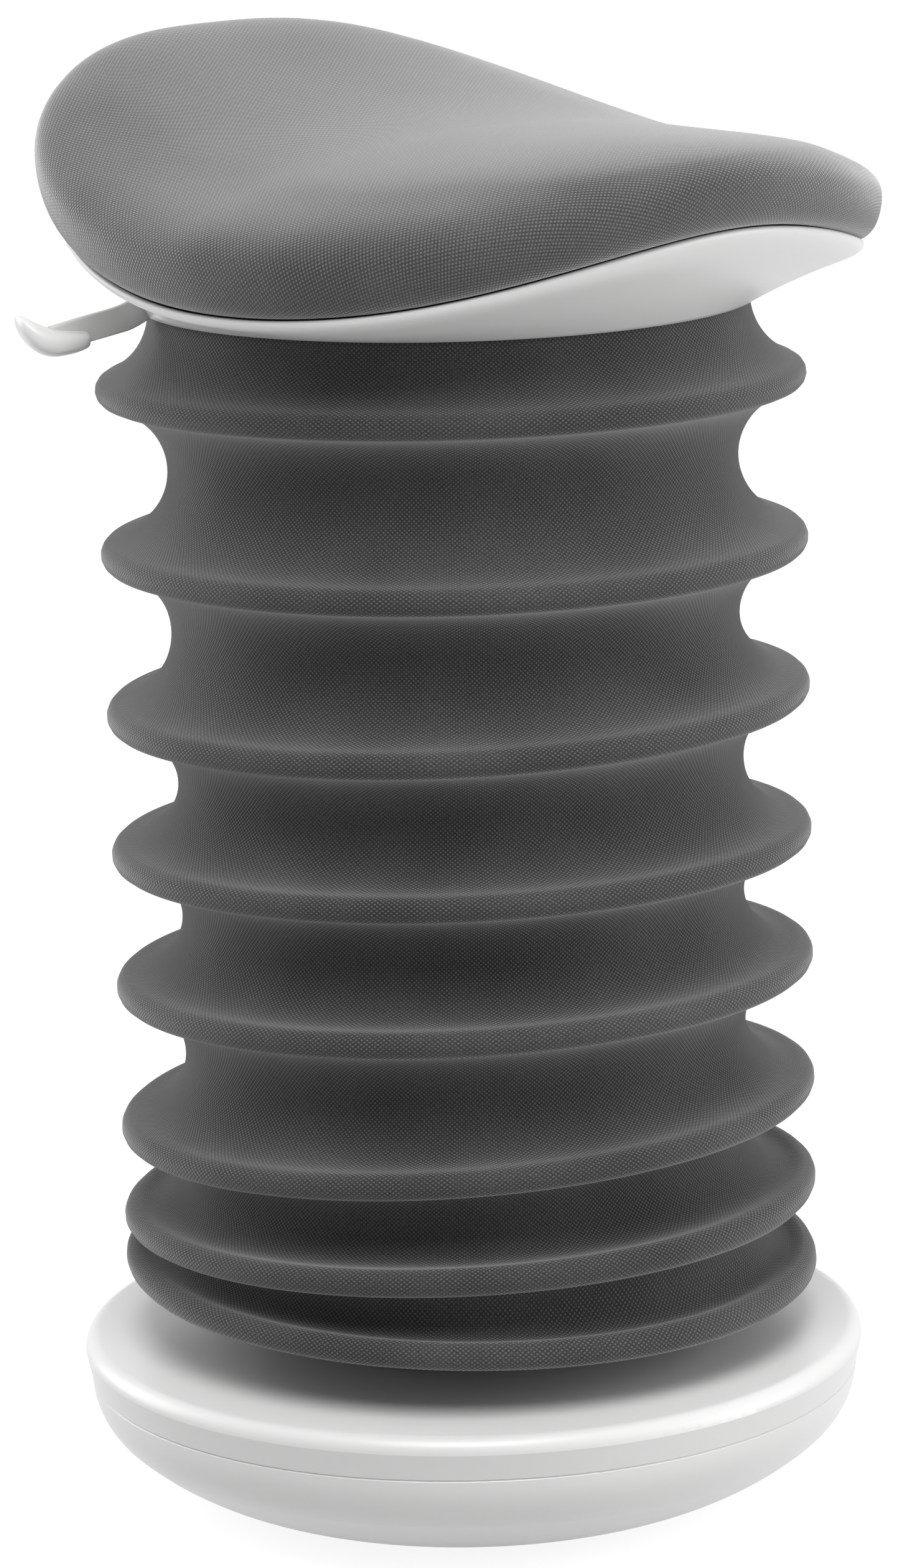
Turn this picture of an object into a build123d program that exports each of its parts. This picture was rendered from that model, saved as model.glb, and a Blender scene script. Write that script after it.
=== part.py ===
from build123d import *
import os
from math import atan2, cos, degrees, radians, sin, sqrt

# An active stool: saddle seat, gas column inside a hooped fabric sleeve, rocking base.
# Origin on the floor under the column, +Z up, the sitter faces -Y. Millimetres.

# Base
base_radius = 200.0
seam_height = 63.0
base_top = 89.0
base_wall = 3.0
rim_flare = 3.0
rim_rise = 14.0
rim_round = 8.0
cover_flat_share = 0.6
seam_chamfer = 0.7
bowl_side_radius = 38.0
bowl_side_turn = 48.0
bowl_floor = 6.0
sole_radius = 97.0
sole_thickness = 4.0
sole_proud = 1.0
ballast_radius = 118.0
ballast_thickness = 12.0
ballast_bore_radius = 21.0
base_bolt_circle = 84.0
base_bolt_count = 4
base_bolt_start = 45.0
base_bolt_radius = 3.0
base_bolt_head_radius = 6.0
base_bolt_head_height = 3.0
base_bolt_grip = 22.0
cover_post_radius = 8.0

# Column
tube_radius = 25.0
tube_wall = 2.0
tube_gap = 40.0
hub_wall = 8.0
hub_height = 72.0
hub_flange_radius = 46.0
hub_flange_thickness = 6.0
foot_thickness = 8.0
washer_radius = 15.0
washer_thickness = 1.5
ball_radius = 2.0
ball_circle = 10.0
ball_count = 10
cage_thickness = 2.0
cage_reach = 3.5
rod_radius = 5.0
rod_neck_radius = 4.0
rod_neck_drop = 6.0
clip_radius = 8.0
clip_thickness = 1.3
clip_groove = 0.8
clip_mouth = 5.0
bush_length = 90.0
bush_cap = 4.0
bump_stop_radius = 14.0
cylinder_radius = 14.0
cylinder_wall = 2.0
cylinder_bottom = 200.0
rod_guide_length = 25.0
piston_length = 12.0
stroke_down = 140.0
stroke_up = 60.0
taper_length = 55.0
taper_drop = 0.9
socket_wall = 6.0
valve_body_length = 40.0
valve_pin_radius = 2.0
valve_pin_length = 30.0
valve_pin_proud = 6.0
valve_cap_radius = 3.0
valve_cap_height = 2.0

# Seat plate, a pressed hat section that opens along the lever
plate_drop = 83.0
plate_sheet = 3.0
plate_depth = 24.0
plate_web = 60.0
plate_flange = 40.0
plate_length = 130.0
seat_bolt_radius = 3.0
seat_bolt_head_radius = 5.0
seat_bolt_head_height = 4.0
seat_bolt_across = 50.0
seat_bolt_along = 45.0
t_nut_barrel_radius = 4.5
t_nut_flange_radius = 9.0
t_nut_flange_thickness = 1.5
t_nut_height = 12.0

# Lever, measured outwards from the column along its own direction
lever_direction = 152.0
lever_pivot = 60.0
lever_thickness = 6.0
lever_inner_height = 11.0
lever_outer_height = 13.0
lever_tail = 7.0
crank_clearance = 3.0
lever_crank_run = 20.0
lever_crank_drop = 18.0
lever_reach = 38.0
lever_tip_drop = 27.0
lever_pin_radius = 3.0
lever_pin_overhang = 2.0
lever_slot_room = 2.0
paddle_overlap = 21.0
paddle_overhang = 14.0
paddle_width = 30.0
paddle_height = 20.0
paddle_scoop = 3.0

# Seat, a saddle surface measured forwards from its own middle
seat_forward = 29.0
seat_front = 186.0
seat_rear = 216.0
seat_half_width = 216.0
seat_middle_height = 709.0
front_rise = 29.0
rear_rise = 80.0
corner_twist = 6.0
edge_depth = 66.0
edge_power = 3.0
front_roundness = 2.0
rear_roundness = 2.4
rim_tuck = 12.0
middle_depth = 57.0
cover_thickness = 2.4
board_thickness = 9.0
board_end = 3.0
board_thinning = 4
foam_ease = 2.0
board_ease = 9.0
foam_end = 12.0
cover_hem = 20.0
tuck_share = 0.45
corner_reach = 162.0
end_tuck_start = 0.9
shoulder_share = 0.85
bulge_share = 0.42
section_shares = (0.25, 0.5, 0.7, 0.84, 0.93, 0.985)
shell_shares = (0.13, 0.25, 0.38, 0.5, 0.6, 0.7, 0.77, 0.84, 0.89, 0.93, 0.96, 0.985)
pad_across = 150.0
pad_along = 136.0

# Seat shell
shell_gap = 2.0
shell_wall = 3.0
shell_lip = 6.0
shell_drop = 87.0
hub_margin = 5.0
ramp_top = 0.97
floor_edge_share = 0.4
front_belly = 0.4
rear_cove = 0.88
slot_lead = 7.0
slot_trail = 14.0
slot_height = 38.0
shell_post_circle = 112.0
shell_post_radius = 7.0
shell_post_count = 4
shell_post_start = 45.0
shell_screw_radius = 2.0
shell_screw_head_radius = 4.0
shell_screw_head_height = 1.5
shell_screw_length = 22.0

# Sleeve and its hoops, which settle at these shares of its height, from the top one down
hoop_shares = (0.924, 0.766, 0.616, 0.477, 0.349, 0.217, 0.123, 0.061)
sleeve_radius = 180.0
sleeve_cloth = 1.4
fold_tip_radius = 8.0
hoop_wire_radius = 2.5
fold_depth = 35.0
slack_share = 0.8
sleeve_top_radius = 147.0
sleeve_hem_radius = 105.0
hem_wrap = 105.0
hem_ring_height = 8.0
hem_ring_width = 12.0
top_ring_height = 8.0
top_ring_width = 10.0
ring_screw_radius = 1.5
ring_screw_count = 6
ring_screw_start = 30.0
ring_screw_head_radius = 3.0
ring_screw_head_height = 2.0
spigot_height = 5.0
spigot_wall = 3.0

# Clearances
running_fit = 0.05
hole_clearance = 0.2
soft_clearance = 0.3
seat_clearance = 0.8
turn_clearance = 0.5
valve_gap = 0.4

# Levels and radii that follow from the sizes above
sole_recess_radius = sole_radius - base_wall
floor_top = sole_thickness + bowl_floor
ballast_top = floor_top + ballast_thickness
foot_top = ballast_top + foot_thickness
race_top = foot_top + washer_thickness
ball_middle = race_top + ball_radius
upper_race = race_top + 2 * ball_radius
rod_shoulder = upper_race + washer_thickness
clip_top = ballast_top - hole_clearance
tube_bore = tube_radius - tube_wall
hub_radius = tube_radius + running_fit + hub_wall
cylinder_bore = cylinder_radius - cylinder_wall
plate_floor = seat_middle_height - plate_drop
cylinder_top = plate_floor + plate_sheet
tube_top = cylinder_top - taper_length - stroke_down - bush_cap - tube_gap
bump_stop_top = cylinder_bottom - stroke_down - soft_clearance
piston_bottom = cylinder_bottom + rod_guide_length + stroke_up + soft_clearance
plate_seat = plate_floor + plate_depth
lever_middle = cylinder_top + valve_pin_proud + valve_gap + lever_inner_height / 2
lever_crank_start = sleeve_top_radius + crank_clearance
lever_crank_end = lever_crank_start + lever_crank_run
lever_tip = lever_crank_end + lever_reach
paddle_start = lever_tip - paddle_overlap
paddle_end = lever_tip + paddle_overhang
slot_start = lever_crank_start - slot_lead
slot_end = lever_crank_end + slot_trail
shell_floor = seat_middle_height - shell_drop
shell_inside = shell_floor + shell_wall
shell_hub_radius = sleeve_top_radius + hub_margin
fold_middle = sleeve_radius - fold_tip_radius
hoop_radius = sleeve_radius - sleeve_cloth - soft_clearance - hoop_wire_radius
hem_ring_radius = sleeve_hem_radius - sleeve_cloth - soft_clearance
top_ring_radius = sleeve_top_radius - sleeve_cloth - soft_clearance
hem_floor = base_top + soft_clearance
sleeve_top = shell_floor - soft_clearance
hoop_heights = [hem_floor + share * (sleeve_top - hem_floor) for share in hoop_shares]
ring_screw_circle = top_ring_radius - top_ring_width / 2
spigot_radius = hem_ring_radius - hem_ring_width - turn_clearance
standing = (Align.CENTER, Align.CENTER, Align.MIN)

# The lever's upright plane: local X runs outwards along the lever, local Y is up
lever_plane = Plane(
    origin=(0, 0, 0),
    x_dir=(cos(radians(lever_direction)), sin(radians(lever_direction)), 0),
    z_dir=(sin(radians(lever_direction)), -cos(radians(lever_direction)), 0),
)
# Flat frame turned to the lever: local X along it, local Y across it
lever_frame = Plane.XY.rotated((0, 0, lever_direction))
# Upright plane square to the lever: local X across it, local Y is up
lever_section = Plane(origin=(0, 0, 0), x_dir=lever_plane.z_dir, z_dir=-lever_plane.x_dir)

os.makedirs("parts", exist_ok=True)


def save(builder, name):
    """Label the finished piece and write it as its own file."""
    builder.part.label = name
    export_step(builder.part, f"parts/{name}.step")


def ring(inner, outer, bottom, height, mode=Mode.ADD):
    """A plain ring round the column axis, in the part being built."""
    with BuildSketch(Plane.XY.offset(bottom)) as annulus:
        Circle(outer)
        Circle(inner, mode=Mode.SUBTRACT)
    extrude(annulus.sketch, amount=height, mode=mode)


def disc(radius, bottom, height, mode=Mode.ADD):
    """A plain round disc on the column axis, in the part being built."""
    with BuildSketch(Plane.XY.offset(bottom)) as round_face:
        Circle(radius)
    extrude(round_face.sketch, amount=height, mode=mode)


def turned(points):
    """A solid of revolution round the column from (radius, height) corners."""
    with BuildSketch(Plane.XZ) as half_section:
        with BuildLine():
            Polyline(*points, close=True)
        make_face()
    revolve(half_section.sketch, axis=Axis.Z)


# Sole pad: rubber disc under the bowl, the face the stool stands on
with BuildPart() as sole_pad:
    disc(sole_recess_radius - soft_clearance, 0, sole_thickness)
    chamfer(sole_pad.edges().group_by(Axis.Z)[0], sole_proud / 2)
save(sole_pad, "sole_pad")

# Base bowl: convex rocking underside, flat floor, recess for the sole pad
with BuildPart() as base_bowl:
    with BuildSketch(Plane.XZ):
        with BuildLine():
            side = JernArc((base_radius, seam_height), (0, -1), bowl_side_radius, -bowl_side_turn)
            belly = TangentArc(side @ 1, (sole_radius, sole_proud), tangent=side % 1)
            Polyline(belly @ 1, (0, sole_proud), (0, seam_height), side @ 0)
        make_face()
    revolve(axis=Axis.Z)
    chamfer(base_bowl.edges().group_by(Axis.Z)[-1], seam_chamfer)
    with BuildSketch(Plane.XZ):
        with BuildLine():
            inner_side = JernArc(
                (base_radius - base_wall, seam_height), (0, -1), bowl_side_radius - base_wall, -bowl_side_turn
            )
            inner_belly = TangentArc(
                inner_side @ 1, (ballast_radius + turn_clearance, floor_top), tangent=inner_side % 1
            )
            Polyline(inner_belly @ 1, (0, floor_top), (0, seam_height), inner_side @ 0)
        make_face()
    revolve(axis=Axis.Z, mode=Mode.SUBTRACT)
    disc(sole_recess_radius, 0, sole_thickness, mode=Mode.SUBTRACT)
    with Locations((0, 0, sole_thickness)):
        with PolarLocations(base_bolt_circle, base_bolt_count, start_angle=base_bolt_start):
            Cylinder(
                base_bolt_head_radius + hole_clearance,
                base_bolt_head_height,
                align=standing,
                mode=Mode.SUBTRACT,
            )
            Cylinder(base_bolt_radius + hole_clearance, bowl_floor, align=standing, mode=Mode.SUBTRACT)
save(base_bowl, "base_bowl")

# Ballast plate: steel disc on the bowl's floor that carries the column hub
with BuildPart() as ballast_plate:
    ring(ballast_bore_radius, ballast_radius, floor_top, ballast_thickness)
    with Locations((0, 0, floor_top)):
        with PolarLocations(base_bolt_circle, base_bolt_count, start_angle=base_bolt_start):
            Cylinder(
                base_bolt_radius + hole_clearance, ballast_thickness, align=standing, mode=Mode.SUBTRACT
            )
save(ballast_plate, "ballast_plate")

# Base cover: flared side, rounded rim, shallow cone, flat middle with the spigot for the sleeve's hem ring
with BuildPart() as base_cover:
    rim_radius = base_radius + rim_flare
    rim_height = seam_height + rim_rise
    cover_flat = base_radius * cover_flat_share
    with BuildSketch(Plane.XZ):
        with BuildLine():
            outer_rim = RadiusArc(
                (rim_radius - rim_round, rim_height + rim_round), (rim_radius, rim_height), rim_round
            )
            inner_rim = RadiusArc(
                (rim_radius - rim_round, rim_height + rim_round - base_wall),
                (rim_radius - base_wall, rim_height),
                rim_round - base_wall,
            )
            Polyline(
                outer_rim @ 1,
                (base_radius, seam_height),
                (base_radius - base_wall, seam_height),
                inner_rim @ 1,
            )
            Polyline(
                outer_rim @ 0,
                (cover_flat, base_top),
                (hub_radius + turn_clearance, base_top),
                (hub_radius + turn_clearance, base_top - base_wall),
                (cover_flat, base_top - base_wall),
                inner_rim @ 0,
            )
        make_face()
    revolve(axis=Axis.Z)
    chamfer(base_cover.edges().group_by(Axis.Z)[0].sort_by(SortBy.RADIUS)[-1], seam_chamfer)
    ring(spigot_radius - spigot_wall, spigot_radius, base_top, spigot_height)
    with Locations((0, 0, ballast_top)):
        with PolarLocations(base_bolt_circle, base_bolt_count, start_angle=base_bolt_start):
            Cylinder(cover_post_radius, base_top - base_wall - ballast_top, align=standing)
            Cylinder(base_bolt_radius, base_bolt_grip, align=standing, mode=Mode.SUBTRACT)
save(base_cover, "base_cover")

# Base bolts: from under the floor through the ballast into the cover's posts
with BuildPart() as base_bolts:
    with Locations((0, 0, sole_thickness)):
        with PolarLocations(base_bolt_circle, base_bolt_count, start_angle=base_bolt_start):
            Cylinder(base_bolt_head_radius, base_bolt_head_height, align=standing)
            Cylinder(base_bolt_radius, bowl_floor + ballast_thickness + base_bolt_grip, align=standing)
save(base_bolts, "base_bolts")

# Column hub: flanged steel sleeve on the ballast that grips the stand tube
with BuildPart() as column_hub:
    ring(tube_radius + running_fit, hub_radius, ballast_top, hub_height)
    ring(tube_radius + running_fit, hub_flange_radius, ballast_top, hub_flange_thickness)
    chamfer(column_hub.edges().group_by(Axis.Z)[-1].sort_by(SortBy.RADIUS)[-1], seam_chamfer)
save(column_hub, "column_hub")

# Stand tube: the fixed outer tube of the gas column
with BuildPart() as stand_tube:
    ring(tube_bore, tube_radius, ballast_top, tube_top - ballast_top)
save(stand_tube, "stand_tube")

# Column foot: end disc inside the stand tube that the rod hangs through
with BuildPart() as column_foot:
    ring(rod_neck_radius + running_fit, tube_bore, ballast_top, foot_thickness)
save(column_foot, "column_foot")

# Guide bush: plastic liner in the top of the stand tube, with a cap on its rim
with BuildPart() as guide_bush:
    ring(cylinder_radius + running_fit, tube_bore, tube_top - bush_length, bush_length)
    ring(cylinder_radius + running_fit, tube_radius, tube_top, bush_cap)
    chamfer(guide_bush.edges().group_by(Axis.Z)[-1].sort_by(SortBy.RADIUS)[-1], seam_chamfer)
save(guide_bush, "guide_bush")

# Thrust bearing under the piston rod: lower washer, cage with balls, upper washer
with BuildPart() as lower_washer:
    ring(rod_neck_radius + hole_clearance, washer_radius, foot_top, washer_thickness)
save(lower_washer, "lower_washer")

with BuildPart() as bearing_balls:
    with Locations((0, 0, ball_middle)):
        with PolarLocations(ball_circle, ball_count):
            Sphere(ball_radius)
save(bearing_balls, "bearing_balls")

with BuildPart() as bearing_cage:
    ring(
        ball_circle - cage_reach,
        ball_circle + cage_reach,
        ball_middle - cage_thickness / 2,
        cage_thickness,
    )
    with Locations((0, 0, ball_middle)):
        with PolarLocations(ball_circle, ball_count):
            Cylinder(ball_radius + running_fit, 2 * cage_thickness, mode=Mode.SUBTRACT)
save(bearing_cage, "bearing_cage")

with BuildPart() as upper_washer:
    ring(rod_neck_radius + hole_clearance, washer_radius, upper_race, washer_thickness)
save(upper_washer, "upper_washer")

# Piston rod: shouldered on the bearing, necked through the foot, grooved for its clip
with BuildPart() as piston_rod:
    clip_bottom = clip_top - clip_thickness
    groove_radius = rod_neck_radius - clip_groove
    rod_end = ballast_top - rod_neck_drop
    turned(
        (
            (0, rod_end),
            (rod_neck_radius, rod_end),
            (rod_neck_radius, clip_bottom - running_fit),
            (groove_radius, clip_bottom - running_fit),
            (groove_radius, clip_top + running_fit),
            (rod_neck_radius, clip_top + running_fit),
            (rod_neck_radius, rod_shoulder),
            (rod_radius, rod_shoulder),
            (rod_radius, piston_bottom + piston_length),
            (0, piston_bottom + piston_length),
        )
    )
save(piston_rod, "piston_rod")

# Retaining clip: split ring in the rod's groove, under the foot
with BuildPart() as retaining_clip:
    ring(groove_radius + running_fit, clip_radius, clip_bottom, clip_thickness)
    with Locations((clip_radius, 0, clip_bottom)):
        Box(2 * clip_radius, clip_mouth, clip_thickness, align=standing, mode=Mode.SUBTRACT)
save(retaining_clip, "retaining_clip")

# Bump stop: rubber cushion that the cylinder comes down on
with BuildPart() as bump_stop:
    ring(rod_radius + hole_clearance, bump_stop_radius, rod_shoulder, bump_stop_top - rod_shoulder)
    chamfer(bump_stop.edges().group_by(Axis.Z)[-1].sort_by(SortBy.RADIUS)[-1], seam_chamfer)
save(bump_stop, "bump_stop")

# Piston at the rod's top end
with BuildPart() as piston:
    ring(rod_radius, cylinder_bore - running_fit, piston_bottom, piston_length)
save(piston, "piston")

# Gas cylinder: slides in the guide bush, its top tapers into the seat's socket
with BuildPart() as gas_cylinder:
    turned(
        (
            (cylinder_bore, cylinder_bottom),
            (cylinder_radius, cylinder_bottom),
            (cylinder_radius, cylinder_top - taper_length),
            (cylinder_radius - taper_drop, cylinder_top),
            (cylinder_bore, cylinder_top),
        )
    )
save(gas_cylinder, "gas_cylinder")

# Rod guide: seal and bearing at the cylinder's lower end
with BuildPart() as rod_guide:
    ring(rod_radius + running_fit, cylinder_bore, cylinder_bottom, rod_guide_length)
save(rod_guide, "rod_guide")

# Valve body: plug in the cylinder's upper end
with BuildPart() as valve_body:
    ring(
        valve_pin_radius + running_fit,
        cylinder_bore,
        cylinder_top - valve_body_length,
        valve_body_length,
    )
save(valve_body, "valve_body")

# Valve pin: the lever presses its cap
with BuildPart() as valve_pin:
    pin_top = cylinder_top + valve_pin_proud
    disc(valve_pin_radius, pin_top - valve_pin_length, valve_pin_length)
    disc(valve_cap_radius, pin_top - valve_cap_height, valve_cap_height)
save(valve_pin, "valve_pin")

# Taper socket: steel cone welded through the seat plate
with BuildPart() as taper_socket:
    socket_radius = cylinder_radius + socket_wall
    turned(
        (
            (cylinder_radius + running_fit, cylinder_top - taper_length),
            (socket_radius, cylinder_top - taper_length),
            (socket_radius, cylinder_top),
            (cylinder_radius - taper_drop + running_fit, cylinder_top),
        )
    )
save(taper_socket, "taper_socket")

# Seat plate: pressed hat section, web below, flanges up against the seat board
with BuildPart() as seat_plate:
    half_web = plate_web / 2
    half_hat = half_web + plate_flange
    with BuildSketch(lever_section):
        with BuildLine():
            Polyline(
                (-half_hat, plate_seat),
                (-half_web + plate_sheet, plate_seat),
                (-half_web + plate_sheet, cylinder_top),
                (half_web - plate_sheet, cylinder_top),
                (half_web - plate_sheet, plate_seat),
                (half_hat, plate_seat),
                (half_hat, plate_seat - plate_sheet),
                (half_web, plate_seat - plate_sheet),
                (half_web, plate_floor),
                (-half_web, plate_floor),
                (-half_web, plate_seat - plate_sheet),
                (-half_hat, plate_seat - plate_sheet),
                close=True,
            )
        make_face()
    extrude(amount=plate_length / 2, both=True)
    with Locations((0, 0, plate_floor)):
        Cylinder(socket_radius + running_fit, plate_sheet, align=standing, mode=Mode.SUBTRACT)
    with BuildSketch(lever_frame.offset(plate_seat - plate_sheet)):
        with GridLocations(2 * seat_bolt_along, 2 * seat_bolt_across, 2, 2):
            Circle(seat_bolt_radius + hole_clearance)
    extrude(amount=plate_sheet, mode=Mode.SUBTRACT)
    with BuildSketch(lever_plane):
        with Locations((lever_pivot, lever_middle)):
            Circle(lever_pin_radius + running_fit)
    extrude(amount=plate_web, both=True, mode=Mode.SUBTRACT)
save(seat_plate, "seat_plate")

# Seat bolts: through the plate's flanges into the T-nuts
with BuildPart() as seat_bolts:
    with BuildSketch(lever_frame.offset(plate_seat - plate_sheet)):
        with GridLocations(2 * seat_bolt_along, 2 * seat_bolt_across, 2, 2):
            RegularPolygon(seat_bolt_head_radius, 6)
    extrude(amount=-seat_bolt_head_height)
    with BuildSketch(lever_frame.offset(plate_seat - plate_sheet)):
        with GridLocations(2 * seat_bolt_along, 2 * seat_bolt_across, 2, 2):
            Circle(seat_bolt_radius)
    extrude(amount=plate_sheet + t_nut_height)
save(seat_bolts, "seat_bolts")

# T-nuts: barrels in the board's pad, flanges let into its top
with BuildPart() as t_nuts:
    with BuildSketch(lever_frame.offset(plate_seat)):
        with GridLocations(2 * seat_bolt_along, 2 * seat_bolt_across, 2, 2):
            Circle(t_nut_barrel_radius)
            Circle(seat_bolt_radius, mode=Mode.SUBTRACT)
    extrude(amount=t_nut_height)
    with BuildSketch(lever_frame.offset(plate_seat + t_nut_height - t_nut_flange_thickness)):
        with GridLocations(2 * seat_bolt_along, 2 * seat_bolt_across, 2, 2):
            Circle(t_nut_flange_radius)
            Circle(t_nut_barrel_radius, mode=Mode.SUBTRACT)
    extrude(amount=t_nut_flange_thickness)
save(t_nuts, "t_nuts")

# Lever arm: flat bar on edge, from the valve out through the shell, cranked down to the paddle
with BuildPart() as lever_arm:
    inner_bottom = lever_middle - lever_inner_height / 2
    inner_top = lever_middle + lever_inner_height / 2
    with BuildSketch(lever_plane):
        with BuildLine():
            Polyline(
                (-lever_tail, inner_bottom),
                (lever_crank_start, inner_bottom),
                (lever_crank_end, inner_top - lever_crank_drop - lever_outer_height),
                (lever_tip, inner_top - lever_tip_drop - lever_outer_height),
                (lever_tip, inner_top - lever_tip_drop),
                (lever_crank_end, inner_top - lever_crank_drop),
                (lever_crank_start, inner_top),
                (-lever_tail, inner_top),
                close=True,
            )
        make_face()
        with Locations((lever_pivot, lever_middle)):
            Circle(lever_pin_radius + running_fit, mode=Mode.SUBTRACT)
    extrude(amount=lever_thickness / 2, both=True)
save(lever_arm, "lever_arm")

# Lever paddle: moulded scoop pressed over the arm's outer end
with BuildPart() as lever_paddle:
    paddle_middle = (paddle_start + paddle_end) / 2
    paddle_lip = inner_top - lever_tip_drop - lever_outer_height
    with BuildSketch(lever_plane):
        with BuildLine():
            ThreePointArc(
                (paddle_start, paddle_lip),
                (paddle_middle, paddle_lip - paddle_scoop),
                (paddle_end, paddle_lip + paddle_height - paddle_scoop),
            )
            Line(
                (paddle_end, paddle_lip + paddle_height - paddle_scoop),
                (paddle_start, paddle_lip + lever_outer_height / 2),
            )
            Line((paddle_start, paddle_lip + lever_outer_height / 2), (paddle_start, paddle_lip))
        make_face()
    extrude(amount=paddle_width / 2, both=True)
    add(lever_arm.part, mode=Mode.SUBTRACT)
save(lever_paddle, "lever_paddle")

# Lever pin: across the hat section, through both its walls
with BuildPart() as lever_pin:
    with BuildSketch(lever_plane):
        with Locations((lever_pivot, lever_middle)):
            Circle(lever_pin_radius)
    extrude(amount=plate_web / 2 + lever_pin_overhang, both=True)
save(lever_pin, "lever_pin")


def seat_length(forward):
    """Half length and roundness of the seat's outline, in front of its middle or behind it."""
    if forward > 0:
        return seat_front, front_roundness
    return seat_rear, rear_roundness


def outline_width(forward, margin):
    """Half width of the seat's outline at a distance forward of its middle, a margin inside its edge."""
    length, roundness = seat_length(forward)
    share = min(abs(forward) / (length - margin), 1)
    return (seat_half_width - margin) * (1 - share**roundness) ** (1 / roundness)


def saddle(forward, across):
    """Height of the saddle before its edge rolls off."""
    length, roundness = seat_length(forward)
    rise = front_rise if forward > 0 else rear_rise
    twist = corner_twist * forward * across / corner_reach**2
    return seat_middle_height + rise * (forward / length) ** 2 - twist


def roll_off(forward, across, margin):
    """How far the crowned top has dropped below the saddle towards the seat's edge."""
    length, roundness = seat_length(forward)
    along_share = (abs(forward) / (length - margin)) ** roundness
    across_share = (across / (seat_half_width - margin)) ** roundness
    share = min((along_share + across_share) ** (1 / roundness), 1)
    return edge_depth * (1 - (1 - share**edge_power) ** (1 / edge_power))


def underside(forward, across):
    """Height of the cushion's underside: lowest at the rim, arched over the middle."""
    length, roundness = seat_length(forward)
    end_share = abs(forward) / length
    rim = saddle(forward, outline_width(forward, 0)) - edge_depth
    middle = saddle(forward, 0) - middle_depth - (edge_depth - middle_depth) * end_share**2
    rim_share = min(across / max(outline_width(forward, rim_tuck), rim_tuck), 1)
    end_tuck = rim_tuck * max(0, end_share - end_tuck_start) / (1 - end_tuck_start)
    return middle + (rim - middle) * rim_share**2 + end_tuck


def board_depth(forward):
    """Thickness of the seat board, thinner towards the seat's front and rear ends."""
    length, roundness = seat_length(forward)
    return board_end + (board_thickness - board_end) * (1 - (forward / length) ** board_thinning)


def seat_stations(margin, shares):
    """Distances forward of the seat's middle at which its sections stand."""
    rear = [-share * (seat_rear - margin) for share in reversed(shares)]
    front = [share * (seat_front - margin) for share in shares]
    return rear + [0.0] + front


def seat_section(forward):
    """Upright plane across the seat: local X to the sitter's left, local Y is up."""
    return Plane(origin=(0, -forward - seat_forward, 0), x_dir=(1, 0, 0), z_dir=(0, -1, 0))


def cushion(margin, end_pull, floor_lift):
    """Crowned cushion with drawn-in sides, a margin inside the seat's outline.

    end_pull shortens it at both ends and floor_lift gives the height of its floor above the underside."""
    sections = []
    for forward in seat_stations(margin + end_pull, section_shares):
        width = outline_width(forward, margin)
        shoulder_height = saddle(forward, shoulder_share * width) - margin
        shoulder_height -= roll_off(forward, shoulder_share * width, margin)
        crown_height = saddle(forward, 0) - roll_off(forward, 0, margin) - margin
        tuck = min(rim_tuck, tuck_share * (shoulder_height - underside(forward, width)))
        shoulder = max(shoulder_share * width, width - tuck)
        rim = width - tuck
        rim_height = underside(forward, rim) + floor_lift(forward)
        bulge_height = rim_height + bulge_share * (shoulder_height - rim_height)
        floor_height = underside(forward, 0) + floor_lift(forward)
        with BuildSketch(seat_section(forward)) as slice_face:
            with BuildLine():
                ThreePointArc((-shoulder, shoulder_height), (0, crown_height), (shoulder, shoulder_height))
                ThreePointArc((shoulder, shoulder_height), (width, bulge_height), (rim, rim_height))
                ThreePointArc((rim, rim_height), (0, floor_height), (-rim, rim_height))
                ThreePointArc((-rim, rim_height), (-width, bulge_height), (-shoulder, shoulder_height))
            make_face()
        sections.append(slice_face.sketch)
    return sections


def slab(margin, bottom_lift, top_lift):
    """Sections of a curved slab over the cushion's underside, a margin inside the seat's outline."""
    sections = []
    for forward in seat_stations(margin, section_shares):
        edge = outline_width(forward, margin)
        low = bottom_lift(forward)
        high = top_lift(forward)
        rim_height = underside(forward, edge)
        middle_height = underside(forward, 0)
        with BuildSketch(seat_section(forward)) as slice_face:
            with BuildLine():
                ThreePointArc(
                    (-edge, rim_height + high), (0, middle_height + high), (edge, rim_height + high)
                )
                Line((edge, rim_height + high), (edge, rim_height + low))
                ThreePointArc((edge, rim_height + low), (0, middle_height + low), (-edge, rim_height + low))
                Line((-edge, rim_height + low), (-edge, rim_height + high))
            make_face()
        sections.append(slice_face.sketch)
    return sections


# Seat foam: the cushion inside its cover, on top of the board
board_lift = cover_thickness + seat_clearance
board_margin = rim_tuck + cover_thickness + board_ease
with BuildPart() as seat_foam:
    loft(
        cushion(
            cover_thickness + foam_ease,
            foam_end,
            lambda forward: board_lift + board_depth(forward) + seat_clearance,
        )
    )
save(seat_foam, "seat_foam")

# Seat cover: fabric skin pulled over the foam and tucked under the board's edge
with BuildPart() as seat_cover:
    loft(cushion(0, 0, lambda forward: 0))
    loft(cushion(cover_thickness, 0, lambda forward: cover_thickness), mode=Mode.SUBTRACT)
    loft(
        slab(rim_tuck + cover_hem, lambda forward: -cover_hem, lambda forward: cover_hem),
        ruled=True,
        mode=Mode.SUBTRACT,
    )
save(seat_cover, "seat_cover")

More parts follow.
